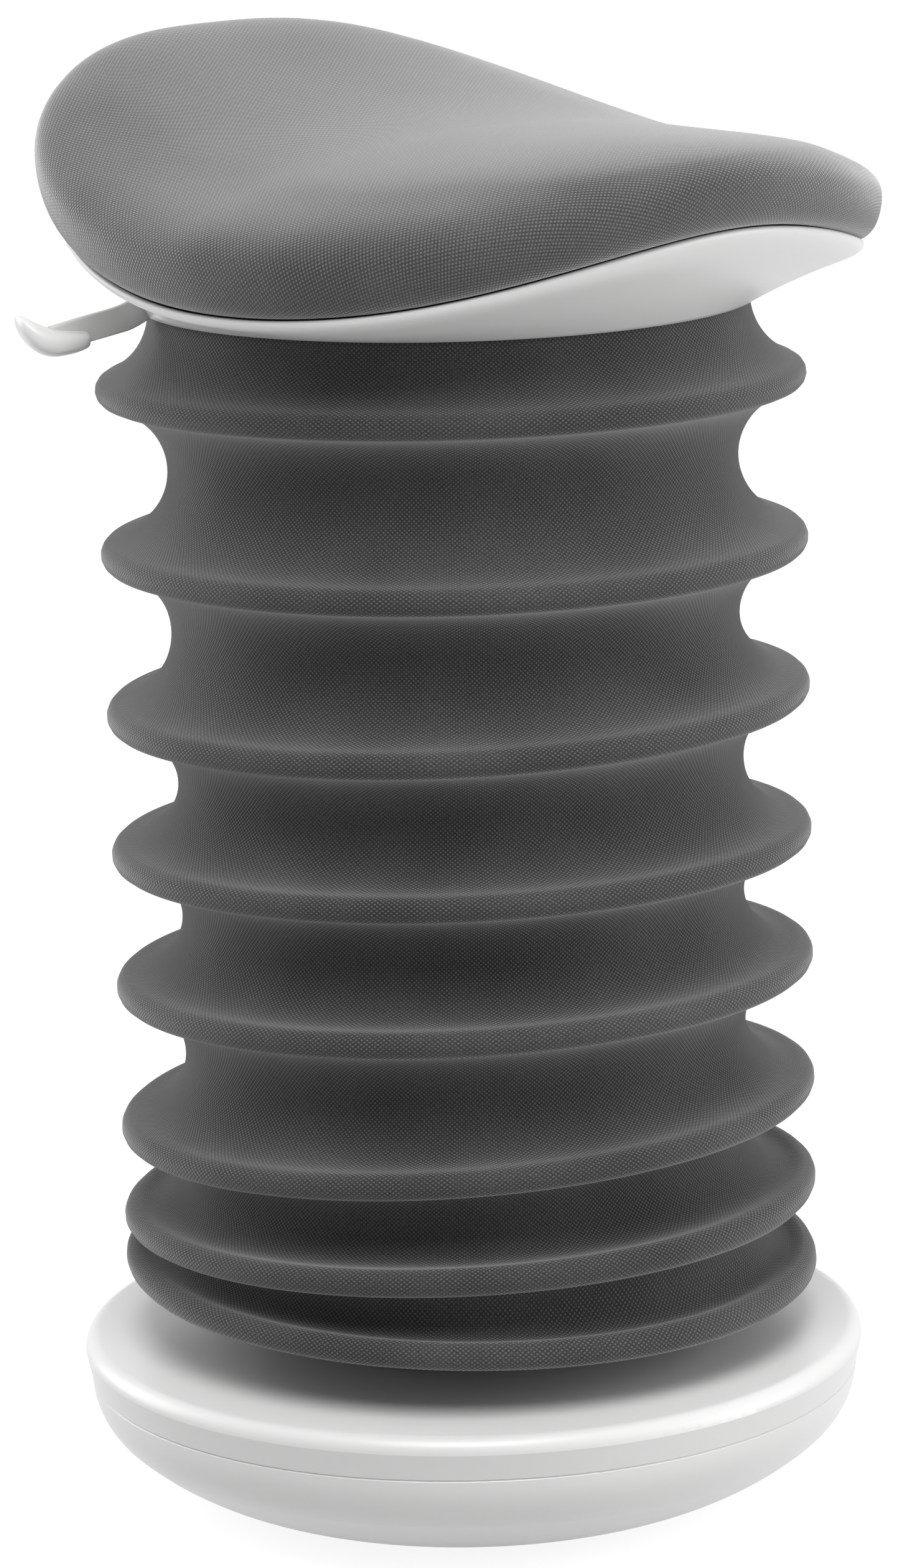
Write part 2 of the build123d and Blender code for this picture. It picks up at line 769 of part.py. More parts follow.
# Seat board: moulded board under the foam, a flat pad for the seat plate and posts for the shell
with BuildPart() as seat_board:
    with BuildSketch(lever_frame.offset(plate_seat)):
        Rectangle(pad_along, pad_across)
    extrude(amount=seat_middle_height + rear_rise - plate_seat)
    with BuildSketch(lever_frame.offset(shell_inside)):
        with PolarLocations(shell_post_circle, shell_post_count, start_angle=shell_post_start):
            Circle(shell_post_radius)
    extrude(amount=seat_middle_height + rear_rise - shell_inside)
    loft(
        slab(
            board_margin,
            lambda forward: -2 * edge_depth,
            lambda forward: board_lift + board_depth(forward) / 2,
        ),
        mode=Mode.INTERSECT,
    )
    loft(slab(board_margin, lambda forward: board_lift, lambda forward: board_lift + board_depth(forward)))
    with BuildSketch(lever_frame.offset(plate_seat)):
        with GridLocations(2 * seat_bolt_along, 2 * seat_bolt_across, 2, 2):
            Circle(t_nut_barrel_radius)
    extrude(amount=t_nut_height, mode=Mode.SUBTRACT)
    with BuildSketch(lever_frame.offset(plate_seat + t_nut_height - t_nut_flange_thickness)):
        with GridLocations(2 * seat_bolt_along, 2 * seat_bolt_across, 2, 2):
            Circle(t_nut_flange_radius)
    extrude(amount=edge_depth, mode=Mode.SUBTRACT)
    with BuildSketch(lever_frame.offset(shell_inside)):
        with PolarLocations(shell_post_circle, shell_post_count, start_angle=shell_post_start):
            Circle(shell_screw_radius)
    extrude(amount=shell_screw_length - shell_wall, mode=Mode.SUBTRACT)
save(seat_board, "seat_board")


def shell_sections(margin, rim_lift):
    """Sections of the seat shell: lip at the rim, slope down to the round hub above the sleeve."""
    sections = []
    hub_reach = shell_hub_radius - margin
    for forward in seat_stations(rim_tuck + margin, shell_shares):
        length, roundness = seat_length(forward)
        edge = outline_width(forward, rim_tuck + margin)
        rim_height = underside(forward, edge) - shell_gap
        middle_height = underside(forward, 0) - shell_gap
        lip_height = rim_height - shell_lip + margin
        from_column = abs(forward + seat_forward)
        end_reach = abs((length if forward > 0 else -length) + seat_forward) - rim_tuck
        ramp = max(0, from_column - hub_reach) / (end_reach - hub_reach)
        floor_height = shell_floor + margin + (lip_height - shell_floor - margin) * min(ramp, ramp_top)
        chord = sqrt(max(hub_reach**2 - from_column**2, 0))
        floor_edge = max(chord, floor_edge_share * edge)
        cove = front_belly if forward > 0 else rear_cove
        slope_middle = ((edge + floor_edge) / 2, floor_height + cove * (lip_height - floor_height))
        with BuildSketch(seat_section(forward)) as slice_face:
            with BuildLine():
                ThreePointArc(
                    (-edge, rim_height + rim_lift),
                    (0, middle_height + rim_lift),
                    (edge, rim_height + rim_lift),
                )
                Line((edge, rim_height + rim_lift), (edge, lip_height))
                ThreePointArc((edge, lip_height), slope_middle, (floor_edge, floor_height))
                Line((floor_edge, floor_height), (-floor_edge, floor_height))
                ThreePointArc(
                    (-floor_edge, floor_height), (-slope_middle[0], slope_middle[1]), (-edge, lip_height)
                )
                Line((-edge, lip_height), (-edge, rim_height + rim_lift))
            make_face()
        sections.append(slice_face.sketch)
    return sections


# Seat shell: moulded pan under the cushion, open above, with the lever's slot in its slope
with BuildPart() as seat_shell:
    loft(shell_sections(0, 0), ruled=True)
    loft(shell_sections(shell_wall, shell_lip), ruled=True, mode=Mode.SUBTRACT)
    disc(socket_radius + turn_clearance, shell_floor, shell_wall, mode=Mode.SUBTRACT)
    with BuildSketch(lever_frame.offset(shell_floor - shell_wall)):
        with Locations(((slot_start + slot_end) / 2, 0)):
            Rectangle(slot_end - slot_start, lever_thickness + 2 * lever_slot_room)
    extrude(amount=slot_height, mode=Mode.SUBTRACT)
    with BuildSketch(lever_frame.offset(shell_floor)):
        with PolarLocations(shell_post_circle, shell_post_count, start_angle=shell_post_start):
            Circle(shell_screw_radius + hole_clearance)
    extrude(amount=shell_wall, mode=Mode.SUBTRACT)
    with BuildSketch(lever_frame.offset(shell_floor)):
        with PolarLocations(shell_post_circle, shell_post_count, start_angle=shell_post_start):
            Circle(shell_screw_head_radius + hole_clearance)
    extrude(amount=shell_screw_head_height, mode=Mode.SUBTRACT)
    with BuildSketch(lever_frame.offset(shell_floor)):
        with PolarLocations(ring_screw_circle, ring_screw_count, start_angle=ring_screw_start):
            Circle(ring_screw_radius)
    extrude(amount=shell_wall, mode=Mode.SUBTRACT)
save(seat_shell, "seat_shell")

# Shell screws: heads sunk in the shell's floor, threaded into the board's posts
with BuildPart() as shell_screws:
    with BuildSketch(lever_frame.offset(shell_floor)):
        with PolarLocations(shell_post_circle, shell_post_count, start_angle=shell_post_start):
            Circle(shell_screw_head_radius)
    extrude(amount=shell_screw_head_height)
    with BuildSketch(lever_frame.offset(shell_floor)):
        with PolarLocations(shell_post_circle, shell_post_count, start_angle=shell_post_start):
            Circle(shell_screw_radius)
    extrude(amount=shell_screw_length)
save(shell_screws, "shell_screws")

# Sleeve top ring: holds the cloth's upper edge under the shell
with BuildPart() as sleeve_top_ring:
    ring(top_ring_radius - top_ring_width, top_ring_radius, shell_floor - top_ring_height, top_ring_height)
    with BuildSketch(lever_frame.offset(shell_floor - top_ring_height)):
        with PolarLocations(ring_screw_circle, ring_screw_count, start_angle=ring_screw_start):
            Circle(ring_screw_radius + hole_clearance)
    extrude(amount=top_ring_height, mode=Mode.SUBTRACT)
save(sleeve_top_ring, "sleeve_top_ring")

# Ring screws: from below through the top ring into the shell
with BuildPart() as ring_screws:
    with BuildSketch(lever_frame.offset(shell_floor - top_ring_height - ring_screw_head_height)):
        with PolarLocations(ring_screw_circle, ring_screw_count, start_angle=ring_screw_start):
            Circle(ring_screw_head_radius)
    extrude(amount=ring_screw_head_height)
    with BuildSketch(lever_frame.offset(shell_floor - top_ring_height)):
        with PolarLocations(ring_screw_circle, ring_screw_count, start_angle=ring_screw_start):
            Circle(ring_screw_radius)
    extrude(amount=top_ring_height + shell_wall)
save(ring_screws, "ring_screws")


def waist(tip_height, waist_height, waist_radius):
    """Centre and radius of the hollow cloth arc that hangs off a fold's tip down or up to its waist."""
    depth = fold_middle - waist_radius
    rise = abs(waist_height - tip_height)
    radius = (depth**2 + rise**2 - fold_tip_radius**2) / (2 * (depth + fold_tip_radius))
    return waist_radius + radius, waist_height, radius


def arc_round(centre, radius, start, end):
    """Arc of the cloth's line about a centre, between two directions in degrees."""
    spots = []
    for turn in (start, (start + end) / 2, end):
        spots.append((centre[0] + radius * cos(radians(turn)), centre[1] + radius * sin(radians(turn))))
    return ThreePointArc(*spots)


def heading(origin, target):
    """Direction from one point of the cloth's section to another, in degrees."""
    return degrees(atan2(target[1] - origin[1], target[0] - origin[0]))


def cloth_line(shift):
    """The sleeve's folded line from its top ring to its hem, moved inwards by shift."""
    waists = [waist(hoop_heights[0], sleeve_top, sleeve_top_radius)]
    for upper, lower in zip(hoop_heights, hoop_heights[1:]):
        depth = min(fold_depth, slack_share * (upper - lower))
        waists.append(waist(upper, (upper + lower) / 2, sleeve_radius - depth))
    tips = [(fold_middle, height) for height in hoop_heights]
    first = arc_round(waists[0], waists[0][2] + shift, 180, heading(waists[0], tips[0]) + 360)
    for tip, next_tip, above, below in zip(tips, tips[1:], waists, waists[1:]):
        arc_round(tip, fold_tip_radius - shift, heading(tip, above), heading(tip, below))
        arc_round(below, below[2] + shift, heading(below, tip), heading(below, next_tip) + 360)
    lip = arc_round(tips[-1], fold_tip_radius - shift, heading(tips[-1], waists[-1]), -hem_wrap)
    last = TangentArc(lip @ 1, (sleeve_hem_radius - shift, hem_floor), tangent=lip % 1)
    return first @ 0, last @ 1


# Sleeve: cloth tube, folded out over its hoops and drawn in between them
with BuildPart() as sleeve:
    with BuildSketch(Plane.XZ):
        with BuildLine():
            outer_top, outer_hem = cloth_line(0)
            inner_top, inner_hem = cloth_line(sleeve_cloth)
            Line(outer_top, inner_top)
            Line(outer_hem, inner_hem)
        make_face()
    revolve(axis=Axis.Z)
save(sleeve, "sleeve")

# Sleeve hem ring: weights the cloth's lower edge and turns on the base cover's spigot
with BuildPart() as sleeve_hem_ring:
    ring(hem_ring_radius - hem_ring_width, hem_ring_radius, hem_floor, hem_ring_height)
save(sleeve_hem_ring, "sleeve_hem_ring")

# Hoops: sprung wire rings sewn into the folds' tips
for number, height in enumerate(hoop_heights, start=1):
    with BuildPart() as hoop:
        with BuildSketch(Plane.XZ):
            with Locations((hoop_radius, height)):
                Circle(hoop_wire_radius)
        revolve(axis=Axis.Z)
    save(hoop, f"hoop_{number}")
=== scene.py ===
from math import atan2, copysign, cos, degrees, exp, hypot, pi, radians, sin, sqrt, tan

import bpy
from mathutils import Matrix, Vector
from mathutils.kdtree import KDTree


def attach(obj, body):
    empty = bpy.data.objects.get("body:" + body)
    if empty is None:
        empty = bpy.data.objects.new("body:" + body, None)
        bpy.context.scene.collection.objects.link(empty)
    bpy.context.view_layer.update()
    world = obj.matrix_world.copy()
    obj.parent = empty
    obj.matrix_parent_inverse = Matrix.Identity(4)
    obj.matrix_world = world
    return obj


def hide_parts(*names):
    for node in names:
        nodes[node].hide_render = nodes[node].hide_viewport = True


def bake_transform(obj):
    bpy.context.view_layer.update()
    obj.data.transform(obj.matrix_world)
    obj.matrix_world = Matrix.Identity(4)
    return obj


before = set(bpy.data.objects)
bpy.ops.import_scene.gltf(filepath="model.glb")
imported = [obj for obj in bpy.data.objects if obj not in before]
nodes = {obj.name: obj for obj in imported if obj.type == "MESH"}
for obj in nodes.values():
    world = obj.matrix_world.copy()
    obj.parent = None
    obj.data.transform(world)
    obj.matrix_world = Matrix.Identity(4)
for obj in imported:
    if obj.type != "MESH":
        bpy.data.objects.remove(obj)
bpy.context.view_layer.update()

# Base bowl and base cover: two white ABS mouldings, screwed together from below.
# The bowl's convex underside rocks on the floor; the cover's flared side meets it at a fine seam.
mm = 0.001
moulding_white = "#e8e8e7"
moulding_shade = "#e1e1e0"
spark_grain = 0.9 * mm
white_cloud = 111.1 * mm


def linear(hex_text):
    """Linear colour, with full alpha, of an sRGB hex value."""
    channels = [int(hex_text[at : at + 2], 16) / 255 for at in (1, 3, 5)]
    bent = [c / 12.92 if c <= 0.04045 else ((c + 0.055) / 1.055) ** 2.4 for c in channels]
    return (bent[0], bent[1], bent[2], 1.0)


def add_node(tree, kind, inputs, **settings):
    """One shader node with its settings; its inputs are plain values or other nodes' outputs."""
    item = tree.nodes.new(kind)
    for name, value in settings.items():
        setattr(item, name, value)
    for name, value in inputs.items():
        if isinstance(value, bpy.types.NodeSocket):
            tree.links.new(value, item.inputs[name])
        else:
            item.inputs[name].default_value = value
    return item


def blank_material(name):
    """A material with an empty node tree."""
    material = bpy.data.materials.new(name)
    material.use_nodes = True
    material.node_tree.nodes.clear()
    return material, material.node_tree


def wear(material, *names):
    """Give CAD nodes a finish."""
    for name in names:
        for slot in nodes[name].material_slots:
            slot.material = material


# Moulded ABS from a polished tool: bright white, soft reflections, the faintest spark grain.
abs_white, tree = blank_material("moulded_abs_white")
place = add_node(tree, "ShaderNodeTexCoord", {})
grain = add_node(
    tree,
    "ShaderNodeTexNoise",
    {"Vector": place.outputs["Object"], "Scale": 1 / spark_grain, "Detail": 2.0, "Roughness": 0.6},
)
cloud = add_node(
    tree, "ShaderNodeTexNoise", {"Vector": place.outputs["Object"], "Scale": 1 / white_cloud, "Detail": 1.0}
)
tone = add_node(
    tree,
    "ShaderNodeMix",
    {"Factor": cloud.outputs["Fac"], "A": linear(moulding_white), "B": linear(moulding_shade)},
    data_type="RGBA",
)
gloss = add_node(
    tree,
    "ShaderNodeMapRange",
    {"Value": grain.outputs["Fac"], "From Min": 0.3, "From Max": 0.7, "To Min": 0.3, "To Max": 0.38},
)
relief = add_node(
    tree, "ShaderNodeBump", {"Height": grain.outputs["Fac"], "Strength": 0.05, "Distance": 0.05 * mm}
)
surface = add_node(
    tree,
    "ShaderNodeBsdfPrincipled",
    {
        "Base Color": tone.outputs[2],
        "Roughness": gloss.outputs["Result"],
        "Normal": relief.outputs["Normal"],
        "IOR": 1.53,
    },
)
add_node(tree, "ShaderNodeOutputMaterial", {"Surface": surface.outputs["BSDF"]})
wear(abs_white, "base_bowl", "base_cover")

# Sole pad and bump stop: black rubber, the pad die cut and stuck under the bowl, the stop moulded.
# Dull, with a fine pebble and a little dust.
rubber_black = "#1d1d1d"
rubber_dusty = "#2a2a29"
rubber_pebble = 1.2 * mm
dust_patch = 16.7 * mm
rubber, tree = blank_material("moulded_rubber_black")
place = add_node(tree, "ShaderNodeTexCoord", {})
pebble = add_node(
    tree, "ShaderNodeTexVoronoi", {"Vector": place.outputs["Object"], "Scale": 1 / rubber_pebble}
)
relief = add_node(
    tree, "ShaderNodeBump", {"Height": pebble.outputs["Distance"], "Strength": 0.35, "Distance": 0.2 * mm}
)
dust = add_node(
    tree, "ShaderNodeTexNoise", {"Vector": place.outputs["Object"], "Scale": 1 / dust_patch, "Detail": 3.0}
)
tone = add_node(
    tree,
    "ShaderNodeMix",
    {"Factor": dust.outputs["Fac"], "A": linear(rubber_black), "B": linear(rubber_dusty)},
    data_type="RGBA",
)
surface = add_node(
    tree,
    "ShaderNodeBsdfPrincipled",
    {
        "Base Color": tone.outputs[2],
        "Roughness": 0.82,
        "Normal": relief.outputs["Normal"],
        "IOR": 1.52,
    },
)
add_node(tree, "ShaderNodeOutputMaterial", {"Surface": surface.outputs["BSDF"]})
wear(rubber, "sole_pad", "bump_stop")

# Ballast plate, hub, bolts, bearing and seat plate: zinc-plated steel, pressed and turned.
# The plating gives a grey metal with a faint spangle and fine drawing lines.
zinc_light = "#b9bbbd"
zinc_dark = "#9a9da0"
zinc_spangle = 6 * mm
drawing_line = 2.5 * mm
zinc, tree = blank_material("zinc_plated_steel")
place = add_node(tree, "ShaderNodeTexCoord", {})
spangle = add_node(
    tree, "ShaderNodeTexVoronoi", {"Vector": place.outputs["Object"], "Scale": 1 / zinc_spangle}
)
tone = add_node(
    tree,
    "ShaderNodeMix",
    {"Factor": spangle.outputs["Distance"], "A": linear(zinc_light), "B": linear(zinc_dark)},
    data_type="RGBA",
)
scratch = add_node(
    tree, "ShaderNodeTexNoise", {"Vector": place.outputs["Object"], "Scale": 1 / drawing_line, "Detail": 3.0}
)
gloss = add_node(
    tree, "ShaderNodeMapRange", {"Value": scratch.outputs["Fac"], "To Min": 0.28, "To Max": 0.48}
)
surface = add_node(
    tree,
    "ShaderNodeBsdfPrincipled",
    {"Base Color": tone.outputs[2], "Roughness": gloss.outputs["Result"], "Metallic": 1.0},
)
add_node(tree, "ShaderNodeOutputMaterial", {"Surface": surface.outputs["BSDF"]})
wear(
    zinc,
    "ballast_plate",
    "column_hub",
    "column_foot",
    "base_bolts",
    "lower_washer",
    "upper_washer",
    "bearing_balls",
    "retaining_clip",
    "piston",
    "valve_body",
    "valve_pin",
    "taper_socket",
    "seat_plate",
    "seat_bolts",
    "t_nuts",
    "lever_pin",
    "shell_screws",
    "ring_screws",
)

# Stand tube and gas cylinder: drawn steel tubes, the cylinder sliding in the tube, both in black enamel.
# The stoved coat gives a deep black with a little orange peel.
enamel_black = "#161617"
orange_peel = 2.5 * mm
enamel, tree = blank_material("black_enamel_on_steel")
place = add_node(tree, "ShaderNodeTexCoord", {})
peel = add_node(
    tree, "ShaderNodeTexNoise", {"Vector": place.outputs["Object"], "Scale": 1 / orange_peel, "Detail": 1.0}
)
relief = add_node(
    tree, "ShaderNodeBump", {"Height": peel.outputs["Fac"], "Strength": 0.12, "Distance": 0.1 * mm}
)
gloss = add_node(
    tree, "ShaderNodeMapRange", {"Value": peel.outputs["Fac"], "To Min": 0.2, "To Max": 0.36}
)
surface = add_node(
    tree,
    "ShaderNodeBsdfPrincipled",
    {
        "Base Color": linear(enamel_black),
        "Roughness": gloss.outputs["Result"],
        "Normal": relief.outputs["Normal"],
    },
)
add_node(tree, "ShaderNodeOutputMaterial", {"Surface": surface.outputs["BSDF"]})
wear(enamel, "stand_tube", "gas_cylinder")

# Piston rod: ground steel, hard chromed, clipped into the foot of the column.
# A near mirror with the finest grinding rings. Blender's wave repeats 20 times in 2 pi at scale 1.
chrome_tone = "#d4d6d8"
grinding_pitch = 0.8 * mm
wave_unit = 2 * pi / 20
chrome, tree = blank_material("hard_chromed_steel")
place = add_node(tree, "ShaderNodeTexCoord", {})
rings = add_node(
    tree,
    "ShaderNodeTexWave",
    {"Vector": place.outputs["Object"], "Scale": wave_unit / grinding_pitch, "Distortion": 1.0},
    bands_direction="Z",
)
gloss = add_node(
    tree, "ShaderNodeMapRange", {"Value": rings.outputs["Fac"], "To Min": 0.06, "To Max": 0.12}
)
surface = add_node(
    tree,
    "ShaderNodeBsdfPrincipled",
    {"Base Color": linear(chrome_tone), "Roughness": gloss.outputs["Result"], "Metallic": 1.0},
)
add_node(tree, "ShaderNodeOutputMaterial", {"Surface": surface.outputs["BSDF"]})
wear(chrome, "piston_rod")

# Guide bush, bearing cage, rod guide, sleeve rings and seat board: dark moulded nylon.
# Dull, with the mould's fine grain and slightly uneven colour.
nylon_dark = "#262627"
nylon_pale = "#303031"
nylon_grain = 1.0 * mm
nylon_cloud = 50 * mm
nylon, tree = blank_material("moulded_nylon_dark")
place = add_node(tree, "ShaderNodeTexCoord", {})
grain = add_node(
    tree, "ShaderNodeTexNoise", {"Vector": place.outputs["Object"], "Scale": 1 / nylon_grain, "Detail": 3.0}
)
cloud = add_node(tree, "ShaderNodeTexNoise", {"Vector": place.outputs["Object"], "Scale": 1 / nylon_cloud})
tone = add_node(
    tree,
    "ShaderNodeMix",
    {"Factor": cloud.outputs["Fac"], "A": linear(nylon_dark), "B": linear(nylon_pale)},
    data_type="RGBA",
)
relief = add_node(
    tree, "ShaderNodeBump", {"Height": grain.outputs["Fac"], "Strength": 0.2, "Distance": 0.1 * mm}
)
surface = add_node(
    tree,
    "ShaderNodeBsdfPrincipled",
    {"Base Color": tone.outputs[2], "Roughness": 0.5, "Normal": relief.outputs["Normal"], "IOR": 1.53},
)
add_node(tree, "ShaderNodeOutputMaterial", {"Surface": surface.outputs["BSDF"]})
wear(nylon, "guide_bush", "bearing_cage", "rod_guide", "sleeve_top_ring", "sleeve_hem_ring", "seat_board")

# Sleeve: a tube of grey stretch cloth, folded out over its hoops and drawn in between them.
# Each hoop sits in a sewn channel; the tube is closed by one upright seam at the back.
hoop_shares = (0.924, 0.766, 0.616, 0.477, 0.349, 0.217, 0.123, 0.061)
hoop_tilts = (0.2, 0.2, 1.4, 1.0, 1.6, 3.0, 2.0, -1.7)
hoop_nods = (0.85, 0.35, 0.35, 1.0, 1.1, 0.85, 0.9, -1.3)
low_side = radians(136.6)
high_side = radians(226.6)
sleeve_radius = 180.0
fold_tip = 7.0
fold_depth = 35.0
slack_share = 0.8
sleeve_top = (152.0, 621.7)
sleeve_hem = (105.0, 89.3)
hem_wrap = 105.0
cloth_thickness = 0.8
around = 240
cloth_step = 3.0
seam_side = radians(90.0)
seam_ridge = 0.8
seam_breadth = 3.0
# Faint puckers where the cloth is drawn in: depth, count round the sleeve, and height in which each turns.
puckers = ((0.35, 5, 31), (0.25, 9, -17))
pucker_fade = 20.0
hoop_heights = tuple(sleeve_hem[1] + share * (sleeve_top[1] - sleeve_hem[1]) for share in hoop_shares)


def heading(origin, target):
    """Direction from one point of the section to another, in degrees."""
    return degrees(atan2(target[1] - origin[1], target[0] - origin[0]))


def waist(tip_height, height, radius):
    """Centre and radius of the hollow arc that runs from a fold's tip to its waist."""
    depth = sleeve_radius - fold_tip - radius
    rise = abs(height - tip_height)
    size = (depth**2 + rise**2 - fold_tip**2) / (2 * (depth + fold_tip))
    return radius + size, height, size


def arc_points(centre, radius, start, end):
    """Points along an arc of the section, a cloth step apart, without the last one."""
    count = max(3, round(abs(radians(end - start)) * radius / cloth_step))
    spots = []
    for at in range(count):
        turn = radians(start + (end - start) * at / count)
        spots.append((centre[0] + radius * cos(turn), centre[1] + radius * sin(turn)))
    return spots


waists = [waist(hoop_heights[0], sleeve_top[1], sleeve_top[0])]
for upper, lower in zip(hoop_heights, hoop_heights[1:]):
    depth = min(fold_depth, slack_share * (upper - lower))
    waists.append(waist(upper, (upper + lower) / 2, sleeve_radius - depth))
tips = [(sleeve_radius - fold_tip, height) for height in hoop_heights]
line = arc_points(waists[0], waists[0][2], 180, heading(waists[0], tips[0]) + 360)
for tip, next_tip, above, below in zip(tips, tips[1:], waists, waists[1:]):
    line += arc_points(tip, fold_tip, heading(tip, above), heading(tip, below))
    line += arc_points(below, below[2], heading(below, tip), heading(below, next_tip) + 360)

# Under the lowest fold the cloth runs in to its hem, along an arc that touches the fold's lip.
line += arc_points(tips[-1], fold_tip, heading(tips[-1], waists[-1]), -hem_wrap)
facing = Vector((cos(radians(-hem_wrap)), sin(radians(-hem_wrap))))
leaving = Vector(tips[-1]) + facing * fold_tip
chord = leaving - Vector(sleeve_hem)
under_size = -chord.length_squared / (2 * facing.dot(chord))
under = leaving + facing * under_size
line += arc_points(under, under_size, heading(under, leaving), heading(under, sleeve_hem))
line.append(sleeve_hem)

lengths = [0.0]
for before, after in zip(line, line[1:]):
    lengths.append(lengths[-1] + hypot(after[0] - before[0], after[1] - before[1]))


def ease(share):
    """A share that starts and stops softly."""
    return share * share * (3 - 2 * share)


def ring_lean(height):
    """Tilt and nod of the cloth's rings in degrees, eased between the hoops and level at both ends."""
    levels = (sleeve_top[1],) + hoop_heights + (sleeve_hem[1],)
    leans = ((0.0, 0.0),) + tuple(zip(hoop_tilts, hoop_nods)) + ((0.0, 0.0),)
    for at in range(len(levels) - 1):
        if levels[at] >= height >= levels[at + 1]:
            share = ease((levels[at] - height) / (levels[at] - levels[at + 1]))
            return [a + (b - a) * share for a, b in zip(leans[at], leans[at + 1])]
    return [0.0, 0.0]


def lean_drop(lean, reach, turn):
    """How far a leaning ring's point lies below its hoop's level."""
    tilt, nod = lean
    return reach * (tan(radians(tilt)) * cos(turn - low_side) - tan(radians(nod)) * cos(turn - high_side))


def put_in_scene(name, data):
    """A new object of the scene."""
    item = bpy.data.objects.new(name, data)
    bpy.context.scene.collection.objects.link(item)
    return item


def skin(name, rings, layers, material):
    """A closed-round surface through rings of points, with UV layers given per ring and point."""
    count = len(rings[0])
    mesh = bpy.data.meshes.new(name)
    points = [spot for ring in rings for spot in ring]
    faces = []
    for row in range(len(rings) - 1):
        for at in range(count):
            beside = (at + 1) % count
            faces.append(
                (row * count + at, (row + 1) * count + at, (row + 1) * count + beside, row * count + beside)
            )
    mesh.from_pydata(points, [], faces)
    for layer, spot_of in layers.items():
        uv = mesh.uv_layers.new(name=layer)
        for face in mesh.polygons:
            row, at = divmod(face.index, count)
            corners = ((row, at), (row + 1, at), (row + 1, at + 1), (row, at + 1))
            for loop, corner in zip(face.loop_indices, corners):
                uv.data[loop].uv = spot_of(*corner)
    for face in mesh.polygons:
        face.use_smooth = True
    mesh.materials.append(material)
    return put_in_scene(name, mesh)


# Knitted polyester, piece dyed: a lattice of small raised loops, dark face on, pale at grazing angles.
# The real loops stand about 1.5 mm apart; they are drawn a little coarser so that they show.
cloth_face = "#161616"
cloth_loop = "#606060"
cloth_sheen = 0.5
sheen_tint = "#ffffff"
yarn_fuzz = 1.11 * mm
dye_patch = 71.4 * mm
loop_pitch = 1.75 * mm
loop_slant = 52.0
weave_bands = wave_unit / loop_pitch


def knit(name, face, loop, sheen):
    """The stool's knitted cloth, drawn on the weave UVs."""
    material, tree = blank_material(name)
    weave = add_node(tree, "ShaderNodeUVMap", {}, uv_map="weave")
    courses = []
    for slant in (loop_slant, -loop_slant):
        turned = add_node(
            tree, "ShaderNodeMapping", {"Vector": weave.outputs["UV"], "Rotation": (0, 0, radians(slant))}
        )
        course = add_node(
            tree,
            "ShaderNodeTexWave",
            {"Vector": turned.outputs["Vector"], "Scale": weave_bands, "Distortion": 0.0},
            bands_direction="X",
        )
        courses.append(course.outputs["Fac"])
    loops = add_node(tree, "ShaderNodeMath", {0: courses[0], 1: courses[1]}, operation="MULTIPLY")
    place = add_node(tree, "ShaderNodeTexCoord", {})
    yarn = add_node(
        tree, "ShaderNodeTexNoise", {"Vector": place.outputs["Object"], "Scale": 1 / yarn_fuzz, "Detail": 2.0}
    )
    shade = add_node(
        tree, "ShaderNodeTexNoise", {"Vector": place.outputs["Object"], "Scale": 1 / dye_patch, "Detail": 2.0}
    )
    uneven = add_node(
        tree,
        "ShaderNodeMath",
        {0: yarn.outputs["Fac"], 1: shade.outputs["Fac"]},
        operation="MULTIPLY",
    )
    lift = add_node(
        tree,
        "ShaderNodeMath",
        {0: loops.outputs["Value"], 1: uneven.outputs["Value"]},
        operation="ADD",
    )
    factor = add_node(
        tree, "ShaderNodeMapRange", {"Value": lift.outputs["Value"], "From Min": 0.1, "From Max": 1.1}
    )
    tone = add_node(
        tree,
        "ShaderNodeMix",
        {"Factor": factor.outputs["Result"], "A": linear(face), "B": linear(loop)},
        data_type="RGBA",
    )
    relief = add_node(
        tree, "ShaderNodeBump", {"Height": loops.outputs["Value"], "Strength": 0.5, "Distance": 0.4 * mm}
    )
    surface = add_node(
        tree,
        "ShaderNodeBsdfPrincipled",
        {
            "Base Color": tone.outputs[2],
            "Roughness": 0.9,
            "Normal": relief.outputs["Normal"],
            "IOR": 1.4,
            "Sheen Weight": sheen,
            "Sheen Roughness": 0.45,
            "Sheen Tint": linear(sheen_tint),
        },
    )
    add_node(tree, "ShaderNodeOutputMaterial", {"Surface": surface.outputs["BSDF"]})
    return material


sleeve_rings = []
for radius, height in line:
    lean = ring_lean(height)
    ring = []
    for at in range(around):
        turn = 2 * pi * at / around
        pucker = sum(depth * sin(count * turn + height / pitch) for depth, count, pitch in puckers)
        drawn = min(1, (sleeve_radius - radius) / fold_depth)
        reach = radius + pucker * drawn * min(1, (sleeve_top[1] - height) / pucker_fade)
        off_seam = (turn - seam_side + pi) % (2 * pi) - pi
        reach += seam_ridge * exp(-((off_seam * radius / seam_breadth) ** 2))
        level = height - lean_drop(lean, reach, turn)
        ring.append((reach * cos(turn) * mm, reach * sin(turn) * mm, level * mm))
    sleeve_rings.append(ring)
cloth_width = 2 * pi * sleeve_radius * mm


def sleeve_weave(row, at):
    """Place of a ring's point on the sleeve's flat cloth."""
    return (cloth_width * at / around, -lengths[row] * mm)


sleeve = skin(
    "sleeve_cloth",
    sleeve_rings,
    {"weave": sleeve_weave},
    knit("knitted_polyester_sleeve", cloth_face, cloth_loop, cloth_sheen),
)
thicken = sleeve.modifiers.new("cloth", "SOLIDIFY")
thicken.thickness = cloth_thickness * mm
thicken.offset = -1.0
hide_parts("sleeve")
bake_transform(sleeve)

